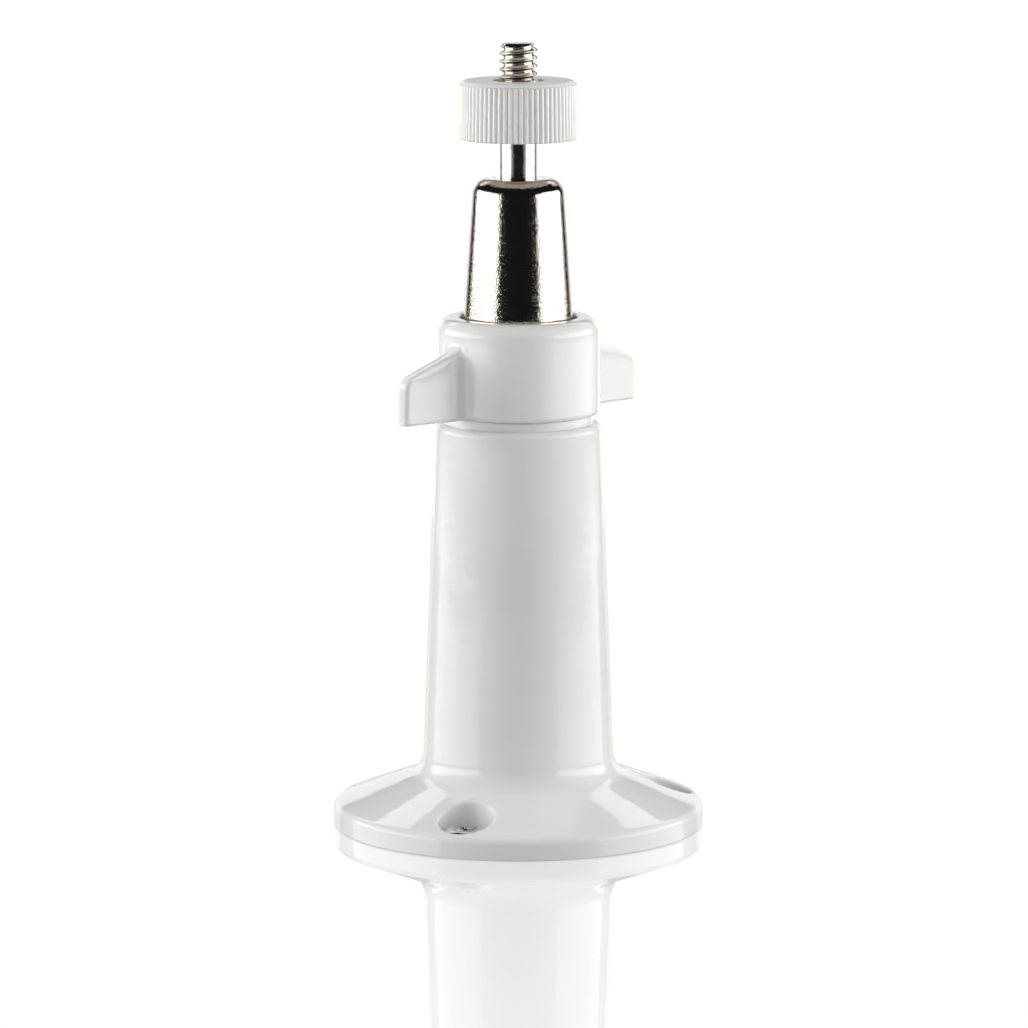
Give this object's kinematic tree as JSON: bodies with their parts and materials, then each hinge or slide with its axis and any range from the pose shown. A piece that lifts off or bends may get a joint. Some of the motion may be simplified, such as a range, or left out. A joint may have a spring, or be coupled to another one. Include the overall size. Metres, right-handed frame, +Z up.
{
  "type": "camera pedestal mount",
  "caption": "White pedestal mount for a small camera: round screw-down foot, tapered column, winged clamping collar, slotted chrome ball head and threaded stud with a ribbed lock nut.",
  "frame": {"origin": "middle of the underside of the foot", "axes": "+Z up along the column; the bell's slot opens towards +Y, so the stud tilts towards +Y"},
  "size_m": [0.06, 0.06, 0.1268],
  "materials": {
    "white_enamel": "gloss",
    "bright_chrome": "polished",
    "nickel_steel": "polished",
    "zinc_steel": "polished",
    "white_plastic": "satin",
    "brass": "satin",
    "acetal": "satin"
  },
  "bodies": {
    "pedestal": {"pedestal": "white_enamel", "mounting_screw_1": "zinc_steel", "mounting_screw_2": "zinc_steel", "mounting_screw_3": "zinc_steel", "pressure_post": "acetal"},
    "washer": {"thrust_washer": "acetal"},
    "collar": {"wing_collar": "white_enamel"},
    "bell": {"swivel_bell": "bright_chrome"},
    "ball": {"pivot_ball": "nickel_steel"},
    "stud": {"camera_stud": "nickel_steel"},
    "nut_thread": {"lock_nut_insert": "brass"},
    "nut": {"lock_nut": "white_plastic"}
  },
  "joints": [
    {"name": "collar_rise", "type": "slide", "parent": "pedestal", "child": "washer", "axis": [0, 0, 1], "range_m": [0, 0.003]},
    {"name": "collar_turn", "type": "hinge", "parent": "washer", "child": "collar", "pos_m": [0, 0, 0.0751], "axis": [0, 0, 1], "range_deg": [0, 720]},
    {"name": "bell_pan", "type": "hinge", "parent": "pedestal", "child": "bell", "pos_m": [0, 0, 0.0982], "axis": [0, 0, 1], "continuous": true},
    {"name": "ball_tilt", "type": "hinge", "parent": "bell", "child": "ball", "pos_m": [0, 0, 0.0982], "axis": [-1, 0, 0], "range_deg": [0, 90]},
    {"name": "stud_spin", "type": "hinge", "parent": "ball", "child": "stud", "pos_m": [0, 0, 0.0982], "axis": [0, 0, 1], "continuous": true},
    {"name": "nut_rise", "type": "slide", "parent": "stud", "child": "nut_thread", "axis": [0, 0, 1], "range_m": [0, 0.00508]},
    {"name": "nut_turn", "type": "hinge", "parent": "nut_thread", "child": "nut", "pos_m": [0, 0, 0.1161], "axis": [0, 0, 1], "range_deg": [0, 1440]}
  ],
  "couplings": [
    {"joint": "collar_turn", "follows": "collar_rise", "rad_per_m": 4188.8},
    {"joint": "nut_turn", "follows": "nut_rise", "rad_per_m": 4947.4}
  ]
}
